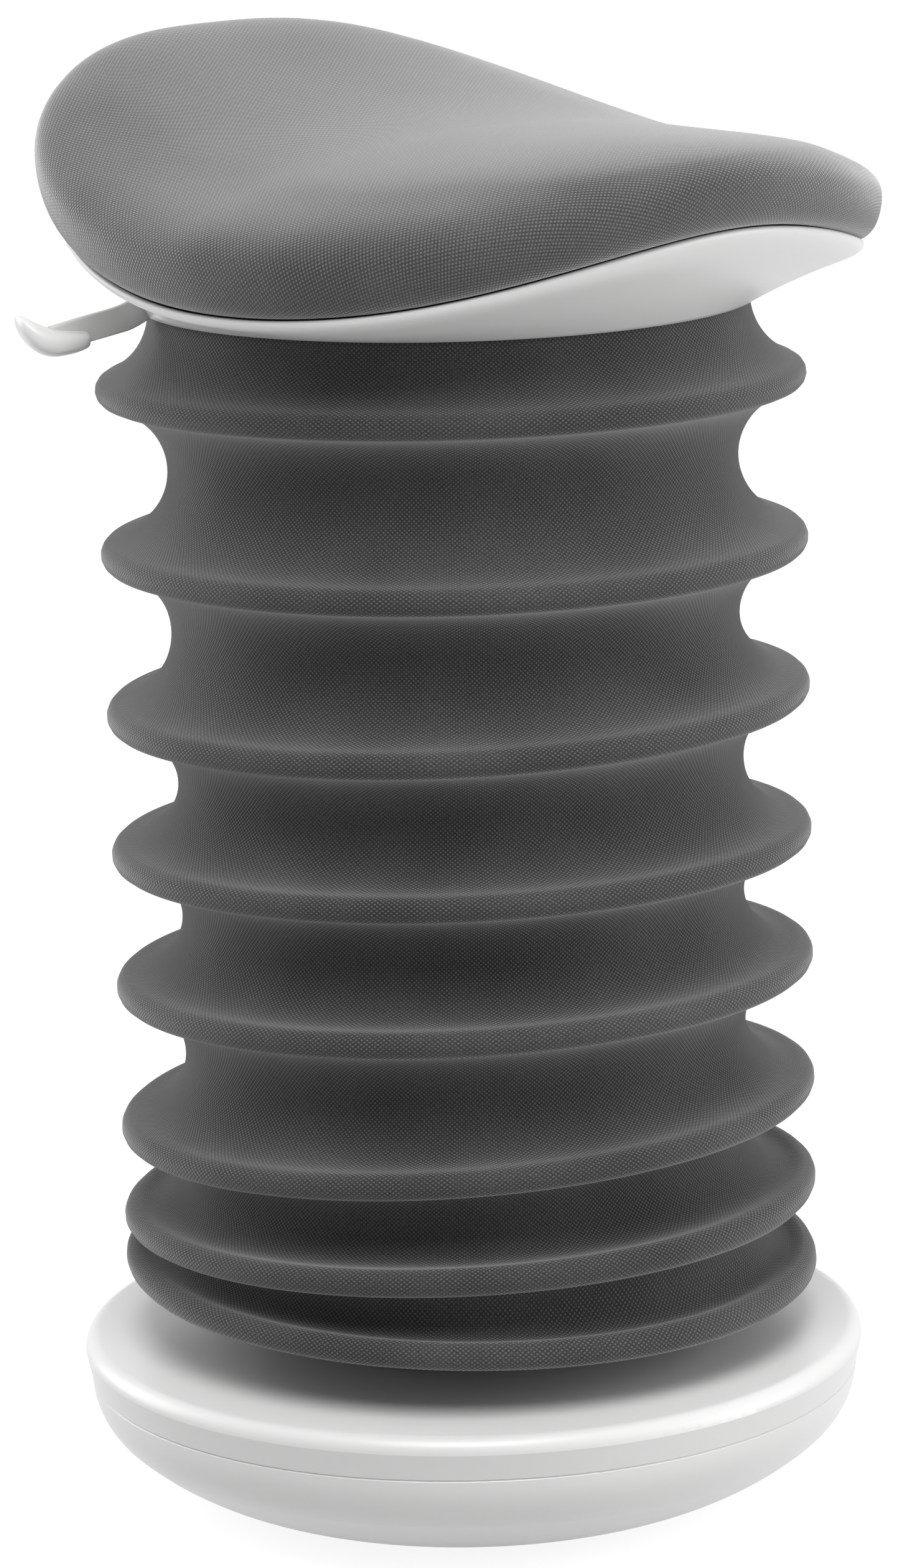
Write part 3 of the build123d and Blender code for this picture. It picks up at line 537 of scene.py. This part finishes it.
# Hoops: rings of oiled spring wire, loose in the middle of the folds' channels and leaning with them.
# They lean a little less than the folds, which flatten over them when the seat sinks.
hoop_radius = 173.0
hoop_lean = 0.87
wire_radius = 1.8
wire_sides = 10
weld_reach = 0.01 * mm
wire_grey = "#8b8d8f"
wire_streak = 3.33 * mm
wire, tree = blank_material("oiled_spring_wire")
place = add_node(tree, "ShaderNodeTexCoord", {})
streak = add_node(
    tree, "ShaderNodeTexNoise", {"Vector": place.outputs["Object"], "Scale": 1 / wire_streak, "Detail": 3.0}
)
gloss = add_node(
    tree, "ShaderNodeMapRange", {"Value": streak.outputs["Fac"], "To Min": 0.25, "To Max": 0.45}
)
surface = add_node(
    tree,
    "ShaderNodeBsdfPrincipled",
    {"Base Color": linear(wire_grey), "Roughness": gloss.outputs["Result"], "Metallic": 1.0},
)
add_node(tree, "ShaderNodeOutputMaterial", {"Surface": surface.outputs["BSDF"]})
for number, height in enumerate(hoop_heights, start=1):
    wire_rings = []
    for side in range(wire_sides + 1):
        roll = 2 * pi * side / wire_sides
        reach = hoop_radius + wire_radius * cos(roll)
        ring = []
        for at in range(around):
            turn = 2 * pi * at / around
            drop = hoop_lean * lean_drop(ring_lean(height), reach, turn)
            level = height - drop - wire_radius * sin(roll)
            ring.append((reach * cos(turn) * mm, reach * sin(turn) * mm, level * mm))
        wire_rings.append(ring)
    hoop = skin(f"hoop_wire_{number}", wire_rings, {}, wire)
    join = hoop.modifiers.new("join", "WELD")
    join.merge_threshold = weld_reach
    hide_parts(f"hoop_{number}")
    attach(hoop, f"hoop_{number}")

# Seat shell: a white ABS pan under the cushion, screwed up into the board's posts.
# A narrow upright lip follows the cushion's wavy rim, and a smooth slope runs in to the round hub.
seat_forward = 29.0
front_half = 175.0
rear_half = 203.0
side_half = 203.0
front_roundness = 2.0
rear_roundness = 2.4
middle_height = 709.0

# The saddle's rises and falls are heights per squared distance, its levelling out per fourth power.
front_rise = 0.957e-3
rear_rise = 1.83e-3
side_fall = 0.396e-3
side_level = 0.82e-8
saddle_twist = 3.4e-4
crease_soft = 45.0
cushion_depth = 66.0
shell_gap = 0.4
shell_wall = 3.0
shell_lip = 6.2
lip_round = 1.6
lip_bevel = 0.3 * lip_round
lip_lean = 0.4
lip_steps = 6
bend_start = 100.0
bend_run = 150.0
rear_bend = 1.1
slope_shares = (0.22, 0.3, 0.38, 0.46, 0.54, 0.62, 0.7, 0.78, 0.85, 0.91, 0.96, 1.0)
hub_radius = 156.0
shell_floor = 622.0
floor_shares = (0.02, 0.06, 0.2, 0.6, 1.0)
socket_clear = 20.5
seat_around = 256


def saddle(forward, across):
    """Height of the seat's saddle before its edge rolls off."""
    rise = front_rise if forward > 0 else rear_rise
    crown = -side_fall * across**2 + side_level * across**4
    aside = sqrt(across**2 + crease_soft**2) - crease_soft
    return middle_height + rise * forward**2 + crown - saddle_twist * forward * aside


def signed_power(value, power):
    """A power that keeps the value's sign."""
    return copysign(abs(value) ** power, value)


def outline(turn):
    """Forward and across of the cushion's rim at a turn round the seat."""
    ahead, aside = cos(turn), sin(turn)
    roundness = front_roundness if ahead > 0 else rear_roundness
    reach = front_half if ahead > 0 else rear_half
    return reach * signed_power(ahead, 2 / roundness), side_half * signed_power(aside, 2 / roundness)


def even_turns(count):
    """Turns that space points evenly round the seat's rim."""
    fine = 4000
    spots = [outline(2 * pi * at / fine) for at in range(fine + 1)]
    run = [0.0]
    for before, after in zip(spots, spots[1:]):
        run.append(run[-1] + hypot(after[0] - before[0], after[1] - before[1]))
    turns, at = [], 0
    for step in range(count):
        goal = run[-1] * step / count
        while run[at + 1] < goal:
            at += 1
        share = (goal - run[at]) / max(run[at + 1] - run[at], 1e-9)
        turns.append(2 * pi * (at + share) / fine)
    return turns


rim_turns = even_turns(seat_around)


def from_seat(forward, across, height):
    """Point in the object's frame from the seat's own measures in millimetres."""
    return (across * mm, -(forward + seat_forward) * mm, height * mm)


def shell_meridian(turn):
    """Points down one line of the shell, over its lip, in to the hub and back along the inside."""
    forward, across = outline(turn)
    rim = saddle(forward, across) - cushion_depth - shell_gap
    ahead, aside = forward + seat_forward, across
    far = hypot(ahead, aside)
    inward = (-ahead / far, -aside / far)
    run = far - hub_radius
    fall = rim - shell_lip - shell_floor
    bend = 1 + rear_bend * ease(min(1, max(0, (bend_start - forward) / bend_run)))
    slope = [(run * share, -shell_lip - fall * share**bend) for share in slope_shares]
    spots = [(shell_wall + lip_lean, -lip_round), (shell_wall - lip_round / 2, 0.0)]
    spots += [(lip_round, 0.0), (lip_bevel, -lip_bevel)]
    for step in range(lip_steps + 1):
        share = step / lip_steps
        inset = share**2 * slope[0][0]
        drop = -(1 - share) ** 2 * lip_round - 2 * share * (1 - share) * shell_lip + share**2 * slope[0][1]
        spots.append((inset, drop))
    floor_spots = []
    for share in floor_shares:
        floor_spots.append((run + (hub_radius - socket_clear) * share, shell_floor - rim))
    inner = [(inset, drop + shell_wall) for inset, drop in reversed(floor_spots)]
    inner += [(inset + shell_wall, drop + shell_wall) for inset, drop in reversed(slope[:-1])]
    return [
        from_seat(forward + inward[0] * inset, across + inward[1] * inset, rim + drop)
        for inset, drop in spots + slope[1:] + floor_spots + inner
    ]


meridians = [shell_meridian(turn) for turn in rim_turns]
shell_rings = [[meridian[row] for meridian in meridians] for row in range(len(meridians[0]))]
shell_rings.append(shell_rings[0])
shell = skin("seat_pan", shell_rings, {}, abs_white)
join = shell.modifiers.new("join", "WELD")
join.merge_threshold = weld_reach

# The lever leaves through an upright slot in the shell's slope, with room for its lift.
lever_direction = radians(152.0)
slot_from, slot_to = 140.0, 190.0
slot_width = 10.0
slot_low, slot_high = 606.0, 652.0


def from_lever(out, beside, height):
    """Point in the object's frame from the lever's own measures in millimetres."""
    return (
        (out * cos(lever_direction) - beside * sin(lever_direction)) * mm,
        (out * sin(lever_direction) + beside * cos(lever_direction)) * mm,
        height * mm,
    )


slot_corners = []
for level in (slot_low, slot_high):
    for out, beside in ((slot_from, -1), (slot_to, -1), (slot_to, 1), (slot_from, 1)):
        slot_corners.append(from_lever(out, beside * slot_width / 2, level))
slot_sides = [(3, 2, 1, 0), (4, 5, 6, 7), (0, 1, 5, 4), (1, 2, 6, 5), (2, 3, 7, 6), (3, 0, 4, 7)]
slot_mesh = bpy.data.meshes.new("lever_slot")
slot_mesh.from_pydata(slot_corners, [], slot_sides)
slot = put_in_scene("lever_slot", slot_mesh)
opening = shell.modifiers.new("lever_slot", "BOOLEAN")
opening.operation = "DIFFERENCE"
opening.solver = "EXACT"
opening.object = slot
slotted = bpy.data.meshes.new_from_object(shell.evaluated_get(bpy.context.evaluated_depsgraph_get()))
shell.modifiers.clear()
shell.data = slotted
bpy.data.objects.remove(slot)
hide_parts("seat_shell")
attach(shell, "seat")

# Lever arm: a flat steel bar, powder coated pale grey, cranked down where it leaves the shell.
# It pivots on a pin in the seat plate and its tail presses the gas column's valve.
# Its line gives the distance out from the column and the heights of its lower and upper edge.
lever_thickness = 6.0
arm_line = (
    (-7.0, 635.4, 646.4),
    (60.0, 635.4, 646.4),
    (140.0, 631.0, 646.2),
    (152.0, 623.0, 642.0),
    (163.0, 617.0, 632.0),
    (172.0, 614.5, 627.8),
    (188.0, 611.0, 624.2),
    (206.0, 607.4, 620.0),
)
arm_steps = 6
edge_round = 1.2
corner_steps = 3


def smooth_line(points, count):
    """Points along a smooth line through the given ones."""
    spots = []
    for at in range(len(points) - 1):
        a = points[max(at - 1, 0)]
        b, c = points[at], points[at + 1]
        d = points[min(at + 2, len(points) - 1)]
        for step in range(count):
            t = step / count
            spot = []
            for p, q, r, s in zip(a, b, c, d):
                slope_b = (r - p) / 2
                slope_c = (s - q) / 2
                spot.append(
                    q * (2 * t**3 - 3 * t**2 + 1)
                    + slope_b * (t**3 - 2 * t**2 + t)
                    + r * (3 * t**2 - 2 * t**3)
                    + slope_c * (t**3 - t**2)
                )
            spots.append(tuple(spot))
    spots.append(tuple(points[-1]))
    return spots


def rounded_section(half_width, low, high, corner):
    """Corners of an upright rounded rectangle, as (beside, height) pairs."""
    spots = []
    for side, level, start in ((1, high, 0), (-1, high, 90), (-1, low, 180), (1, low, 270)):
        middle = (side * (half_width - corner), level - corner if level == high else level + corner)
        for step in range(corner_steps + 1):
            turn = radians(start + 90 * step / corner_steps)
            spots.append((middle[0] + corner * cos(turn), middle[1] + corner * sin(turn)))
    return spots


def capped(name, sections, material):
    """A closed bar through sections of points, its ends filled."""
    count = len(sections[0])
    points = [spot for section in sections for spot in section]
    faces = [tuple(range(count)), tuple(reversed(range(len(points) - count, len(points))))]
    for row in range(len(sections) - 1):
        for at in range(count):
            beside = (at + 1) % count
            faces.append(
                (row * count + beside, row * count + at, (row + 1) * count + at, (row + 1) * count + beside)
            )
    mesh = bpy.data.meshes.new(name)
    mesh.from_pydata(points, [], faces)
    for face in mesh.polygons:
        face.use_smooth = len(face.vertices) == 4
    mesh.materials.append(material)
    return put_in_scene(name, mesh)


# Powder coat: pale grey, eggshell, with the coat's fine orange peel.
powder_grey = "#d2d2d1"
powder_peel = 1.5 * mm
powder, tree = blank_material("powder_coat_pale_grey")
place = add_node(tree, "ShaderNodeTexCoord", {})
peel = add_node(
    tree, "ShaderNodeTexNoise", {"Vector": place.outputs["Object"], "Scale": 1 / powder_peel, "Detail": 2.0}
)
relief = add_node(
    tree, "ShaderNodeBump", {"Height": peel.outputs["Fac"], "Strength": 0.1, "Distance": 0.1 * mm}
)
gloss = add_node(
    tree, "ShaderNodeMapRange", {"Value": peel.outputs["Fac"], "To Min": 0.35, "To Max": 0.5}
)
surface = add_node(
    tree,
    "ShaderNodeBsdfPrincipled",
    {
        "Base Color": linear(powder_grey),
        "Roughness": gloss.outputs["Result"],
        "Normal": relief.outputs["Normal"],
    },
)
add_node(tree, "ShaderNodeOutputMaterial", {"Surface": surface.outputs["BSDF"]})
arm_sections = []
for out, low, high in smooth_line(arm_line, arm_steps):
    profile = rounded_section(lever_thickness / 2, low, high, edge_round)
    arm_sections.append([from_lever(out, beside, level) for beside, level in profile])
arm = capped("lever_bar", arm_sections, powder)
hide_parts("lever_arm")
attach(arm, "lever")

# Lever paddle: a white ABS scoop, moulded and pressed over the bar's end.
# It is thick below and turned up at its tip. Its line gives distance out, half width, lower and upper edge.
paddle_line = (
    (186.5, 2.0, 611.6, 616.0),
    (187.0, 9.0, 610.0, 616.6),
    (189.0, 12.0, 608.6, 617.2),
    (194.0, 14.0, 607.0, 617.6),
    (200.0, 15.0, 605.9, 618.2),
    (206.0, 15.2, 605.6, 619.4),
    (212.0, 14.6, 607.4, 622.0),
    (217.0, 12.8, 611.6, 624.8),
    (220.5, 9.6, 617.0, 626.2),
    (222.2, 5.0, 621.6, 626.0),
    (222.6, 1.0, 623.6, 624.6),
)
paddle_steps = 3
paddle_around = 32
paddle_fullness = 0.7
paddle_sections = []
for out, half_width, low, high in smooth_line(paddle_line, paddle_steps):
    section = []
    for at in range(paddle_around):
        turn = 2 * pi * at / paddle_around
        beside = half_width * signed_power(cos(turn), paddle_fullness)
        level = (low + high) / 2 + (high - low) / 2 * signed_power(sin(turn), paddle_fullness)
        section.append(from_lever(out, beside, level))
    paddle_sections.append(section)
paddle = capped("lever_scoop", paddle_sections, abs_white)
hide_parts("lever_paddle")
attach(paddle, "lever")

# Seat cushion: moulded foam on the board, under one piece of the same knitted cloth.
# The cloth is drawn over the saddle's edge and tucked under the rim, so no seam shows from above.
overhang = 1.05
front_overhang = 0.015
roll_power = 2.4
front_roll = 0.4
turn_under = 44.0
rim_tuck = 12.0
tuck_swing = radians(72.0)
tuck_steps = 6
hem_inset = 22.5
board_top = 13.6
hem_path = ((hem_inset * 0.78, 0.4), (hem_inset, 1.0), (hem_inset + 1.0, board_top))
middle_depth = 57.0
cushion_around = 224
top_steps = 34
top_shares = [sin(pi / 2 * step / top_steps) for step in range(1, top_steps + 1)]
seat_face = "#202020"
seat_loop = "#6a6a6a"
seat_sheen = 1.0


def cushion_meridian(turn):
    """Points from the cushion's middle over its edge, under its rim and back over the board."""
    forward, across = outline(turn)
    far = hypot(forward, across)
    ahead, aside = forward / far, across / far
    fore = max(0, ahead) ** 2
    power = roll_power - front_roll * fore
    swell = overhang + front_overhang * fore
    spots = []
    for share in top_shares:
        drop = turn_under * (1 - (1 - share**power) ** (1 / power))
        level = saddle(share * forward, share * across) - drop
        spots.append((share * forward * swell, share * across * swell, level))
    edge = spots[-1]
    rim = saddle(forward, across) - cushion_depth
    fall = edge[2] - rim
    for step in range(1, tuck_steps + 1):
        swing = tuck_swing * step / tuck_steps
        inset = rim_tuck * (1 - cos(swing)) / (1 - cos(tuck_swing))
        level = edge[2] - fall * sin(swing) / sin(tuck_swing)
        spots.append((edge[0] - ahead * inset, edge[1] - aside * inset, level))
    for inset, lift in hem_path:
        spots.append((edge[0] - ahead * inset, edge[1] - aside * inset, rim + lift))
    return spots


cushion_turns = even_turns(cushion_around)
meridians = [cushion_meridian(turn) for turn in cushion_turns]
top = saddle(0, 0)
rows = len(meridians[0])
points = [from_seat(0, 0, top)]
for row in range(rows):
    for meridian in meridians:
        points.append(from_seat(*meridian[row]))
tracks = []
for meridian in meridians:
    run, before = 0.0, (0.0, 0.0, top)
    track = []
    for spot in meridian:
        run += sqrt(sum((a - b) ** 2 for a, b in zip(spot, before)))
        far = max(hypot(spot[0], spot[1]), 1e-6)
        track.append((run * spot[1] / far * mm, run * spot[0] / far * mm))
        before = spot
    tracks.append(track)
faces = []
for at in range(cushion_around):
    faces.append((0, 1 + at, 1 + (at + 1) % cushion_around))
for row in range(rows - 1):
    for at in range(cushion_around):
        beside = (at + 1) % cushion_around
        low = 1 + row * cushion_around
        faces.append((low + at, low + cushion_around + at, low + cushion_around + beside, low + beside))
points.append(from_seat(0, 0, middle_height - middle_depth + board_top))
centre = len(points) - 1
low = 1 + (rows - 1) * cushion_around
for at in range(cushion_around):
    faces.append((centre, low + (at + 1) % cushion_around, low + at))
mesh = bpy.data.meshes.new("seat_cushion")
mesh.from_pydata(points, [], faces)
uv = mesh.uv_layers.new(name="weave")
for face in mesh.polygons:
    face.use_smooth = True
    for loop, corner in zip(face.loop_indices, face.vertices):
        if 0 < corner < centre:
            row, at = divmod(corner - 1, cushion_around)
            uv.data[loop].uv = tracks[at][row]
mesh.materials.append(knit("knitted_polyester_seat", seat_face, seat_loop, seat_sheen))
cushion = put_in_scene("seat_cushion", mesh)

# The foam holds the cover taut: an even copy of the cushion is blown up as cloth under light pressure,
# with all that faces down held still, and the cushion takes over how far the copy's cloth moved.
even_size = 5.0 * mm
foam_pressure = 4.0
swell_cap = 1.5 * mm
cloth_quality = 4
settle_frames = 20
facing_down = -0.1
calming = 160
trial = put_in_scene("cover_trial", mesh.copy())
even = trial.modifiers.new("even", "REMESH")
even.mode = "VOXEL"
even.voxel_size = even_size
even_cover = bpy.data.meshes.new_from_object(trial.evaluated_get(bpy.context.evaluated_depsgraph_get()))
trial.modifiers.clear()
trial.data = even_cover
held = trial.vertex_groups.new(name="held")
underside = [vertex.index for vertex in even_cover.vertices if vertex.normal.z < facing_down]
held.add(underside, 1.0, "REPLACE")
cover = trial.modifiers.new("cover", "CLOTH")
cover.settings.quality = cloth_quality
cover.settings.vertex_group_mass = "held"
cover.settings.use_pressure = True
cover.settings.uniform_pressure_force = foam_pressure
cover.settings.effector_weights.gravity = 0.0
cover.collision_settings.use_collision = False
cover.point_cache.frame_start = 1
cover.point_cache.frame_end = settle_frames
for tick in range(1, settle_frames + 1):
    bpy.context.scene.frame_set(tick)
blown = trial.evaluated_get(bpy.context.evaluated_depsgraph_get()).to_mesh()
moves = [after.co - before.co for before, after in zip(even_cover.vertices, blown.vertices)]
finder = KDTree(len(moves))
for vertex in even_cover.vertices:
    finder.insert(vertex.co, vertex.index)
finder.balance()
for vertex in mesh.vertices:
    move, total = Vector((0, 0, 0)), 0.0
    for _, index, gap in finder.find_n(vertex.co, calming):
        weight = 1 / (gap + even_size)
        move += moves[index] * weight
        total += weight
    move /= total
    if move.length > swell_cap:
        move *= swell_cap / move.length
    vertex.co += move
bpy.data.objects.remove(trial)
bpy.context.scene.frame_set(1)
smooth = cushion.modifiers.new("smooth", "SUBSURF")
smooth.levels = 1
smooth.render_levels = 1
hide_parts("seat_cover", "seat_foam")
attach(cushion, "seat")

# Studio: a pale floor that fades to white, a white surround that is brightest behind the stool,
# and soft light from above in front, from behind at the left and from low down at the right.
view_turn = radians(-43.4)
right = Vector((cos(view_turn), sin(view_turn), 0))
away = Vector((-sin(view_turn), cos(view_turn), 0))
up = Vector((0, 0, 1))
floor_size = 30.0
floor_pale = "#c8c8c8"
floor_shadowed = "#969696"
floor_glow = 0.88
plain_white = "#ffffff"


def seen_plainly(tree):
    """Socket that is 1 for what the camera sees, also in gloss and through glass, and 0 for other light."""
    path = add_node(tree, "ShaderNodeLightPath", {})
    seen = path.outputs["Is Camera Ray"]
    for way in ("Is Glossy Ray", "Is Transmission Ray"):
        either = add_node(tree, "ShaderNodeMath", {0: seen, 1: path.outputs[way]}, operation="MAXIMUM")
        seen = either.outputs["Value"]
    return seen


studio_floor, tree = blank_material("studio_floor")
lit = add_node(tree, "ShaderNodeBsdfDiffuse", {"Color": linear(floor_shadowed)})
glow = add_node(tree, "ShaderNodeEmission", {"Color": linear(plain_white), "Strength": floor_glow})
both = add_node(tree, "ShaderNodeAddShader", {0: lit.outputs["BSDF"], 1: glow.outputs["Emission"]})
plain = add_node(tree, "ShaderNodeBsdfDiffuse", {"Color": linear(floor_pale)})
mixed = add_node(
    tree,
    "ShaderNodeMixShader",
    {0: seen_plainly(tree), 1: plain.outputs["BSDF"], 2: both.outputs["Shader"]},
)
add_node(tree, "ShaderNodeOutputMaterial", {"Surface": mixed.outputs["Shader"]})
mesh = bpy.data.meshes.new("studio_floor")
half = floor_size / 2
corners = [(-half, -half, 0), (half, -half, 0), (half, half, 0), (-half, half, 0)]
mesh.from_pydata(corners, [], [(0, 1, 2, 3)])
mesh.materials.append(studio_floor)
floor = put_in_scene("studio_floor", mesh)

surround_dim = 0.15
surround_bright = 0.75
bright_side = away * 0.8 + right * 0.6
world = bpy.data.worlds.new("studio_surround")
bpy.context.scene.world = world
world.use_nodes = True
tree = world.node_tree
tree.nodes.clear()
toward = add_node(tree, "ShaderNodeTexCoord", {})
behind = add_node(
    tree,
    "ShaderNodeVectorMath",
    {0: toward.outputs["Generated"], 1: bright_side},
    operation="DOT_PRODUCT",
)
glow = add_node(
    tree,
    "ShaderNodeMapRange",
    {
        "Value": behind.outputs["Value"],
        "From Min": -1.0,
        "From Max": 1.0,
        "To Min": surround_dim,
        "To Max": surround_bright,
    },
)
strength = add_node(
    tree,
    "ShaderNodeMix",
    {"Factor": seen_plainly(tree), "A": glow.outputs["Result"], "B": 1.0},
)
surround = add_node(
    tree, "ShaderNodeBackground", {"Color": linear(plain_white), "Strength": strength.outputs["Result"]}
)
add_node(tree, "ShaderNodeOutputWorld", {"Surface": surround.outputs["Background"]})

softbox_size = 1.6
softbox_aim = Vector((0, 0, 0.45))
softboxes = (
    ("softbox_left", -right * 2.1 + away * 1.0 + up * 0.5, 25.0),
    ("softbox_top", -right * 0.1 - away * 1.3 + up * 2.0, 50.0),
    ("softbox_right", right * 2.1 - away * 0.4 + up * 0.15, 21.0),
)
for name, offset, power in softboxes:
    lamp = bpy.data.lights.new(name, "AREA")
    lamp.size = softbox_size
    lamp.energy = power
    box = put_in_scene(name, lamp)
    box.location = softbox_aim + offset
    box.rotation_euler = (-offset).to_track_quat("-Z", "Y").to_euler()

# Camera: where the photograph was taken from, worked out from the outlines of base, folds and seat.
# A long lens a little above the seat, held with a slight roll.
camera_distance = 3.012
camera_height = 1.033
camera_pitch = radians(12.40)
camera_yaw = radians(-0.062)
camera_roll = radians(-1.4)
lens_pixels = 9643.0
image_height = 2520
film = 36.0
forward = (right * sin(camera_yaw) + away * cos(camera_yaw)) * cos(camera_pitch) - up * sin(camera_pitch)
level = right * cos(camera_yaw) - away * sin(camera_yaw)
upright = level.cross(forward)
camera_right = level * cos(camera_roll) + upright * sin(camera_roll)
camera_up = upright * cos(camera_roll) - level * sin(camera_roll)
stand = -away * camera_distance + up * camera_height
lens = bpy.data.cameras.new("photo_camera")
lens.sensor_fit = "VERTICAL"
lens.sensor_height = film
lens.lens = lens_pixels / image_height * film
camera = put_in_scene("photo_camera", lens)
turned = Matrix((camera_right, camera_up, -forward)).transposed().to_4x4()
camera.matrix_world = Matrix.Translation(stand) @ turned
bpy.context.scene.camera = camera
bpy.context.scene.view_settings.view_transform = "Standard"

bpy.context.view_layer.update()
